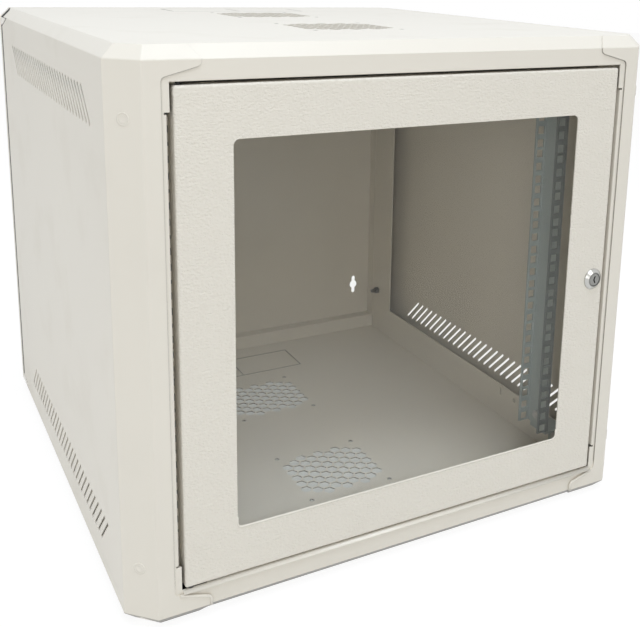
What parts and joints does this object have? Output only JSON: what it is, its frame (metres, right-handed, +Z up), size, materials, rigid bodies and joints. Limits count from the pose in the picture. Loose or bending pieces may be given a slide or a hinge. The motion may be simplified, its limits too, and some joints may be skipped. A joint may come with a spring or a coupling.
{
  "type": "rack cabinet",
  "caption": "Wall-mounted rack cabinet: bevelled sheet-metal body with slotted sides, perforated top and floor, rack rails inside and a hinged tinted-glass door with a cam lock.",
  "frame": {"origin": "on the floor plane, under the middle of the box round the cabinet", "axes": "+X to the right seen from the front, +Y to the back, +Z up; the door faces -Y"},
  "size_m": [0.6, 0.617, 0.55],
  "materials": {
    "body_paint": "fine-textured light grey powder coat",
    "rail_paint": "smooth blue-grey paint",
    "zinc_steel": "zinc-plated steel",
    "tinted_glass": "lightly smoked safety glass",
    "seal_rubber": "matt black",
    "foam_tape": "matt black foam",
    "lock_chrome": "satin nickel-chrome plate",
    "washer_plastic": "plain black"
  },
  "bodies": {
    "cabinet": {"left_side_panel": "body_paint", "right_side_panel": "body_paint", "top_cover": "body_paint", "bottom_panel": "body_paint", "front_frame": "body_paint", "side_frame_left": "body_paint", "side_frame_right": "body_paint", "back_panel": "body_paint", "rail_left": "rail_paint", "rail_right": "rail_paint", "rail_bracket_left_lower": "rail_paint", "rail_bracket_left_upper": "rail_paint", "rail_bracket_right_lower": "rail_paint", "rail_bracket_right_upper": "rail_paint", "back_bolts": "zinc_steel", "back_nuts": "zinc_steel", "rail_bolts": "zinc_steel", "rail_nuts": "zinc_steel", "bracket_bolts": "zinc_steel", "bracket_nuts": "zinc_steel", "earth_stud": "zinc_steel", "earth_nut": "zinc_steel", "hinge_bracket_upper": "zinc_steel", "hinge_bracket_lower": "zinc_steel", "hinge_pin_upper": "zinc_steel", "hinge_pin_lower": "zinc_steel", "rear_gasket": "seal_rubber", "hinge_washer": "washer_plastic"},
    "door": {"door_frame": "body_paint", "door_glass": "tinted_glass", "glass_tape": "foam_tape", "glass_clip_left": "zinc_steel", "glass_clip_right": "zinc_steel", "glass_clip_lower": "zinc_steel", "glass_clip_upper": "zinc_steel", "glass_clip_nuts": "zinc_steel", "lock_barrel": "lock_chrome", "lock_nut": "zinc_steel"},
    "lock": {"lock_core": "lock_chrome", "lock_cam": "zinc_steel", "lock_cam_screw": "zinc_steel"}
  },
  "joints": [
    {"name": "door_hinge", "type": "hinge", "parent": "cabinet", "child": "door", "pos_m": [-0.2415, -0.2985, 0.275], "axis": [0, 0, -1], "range_deg": [0, 110]},
    {"name": "lock_turn", "type": "hinge", "parent": "door", "child": "lock", "pos_m": [0.2325, -0.3045, 0.27675], "axis": [0, -1, 0], "range_deg": [0, 90]}
  ]
}
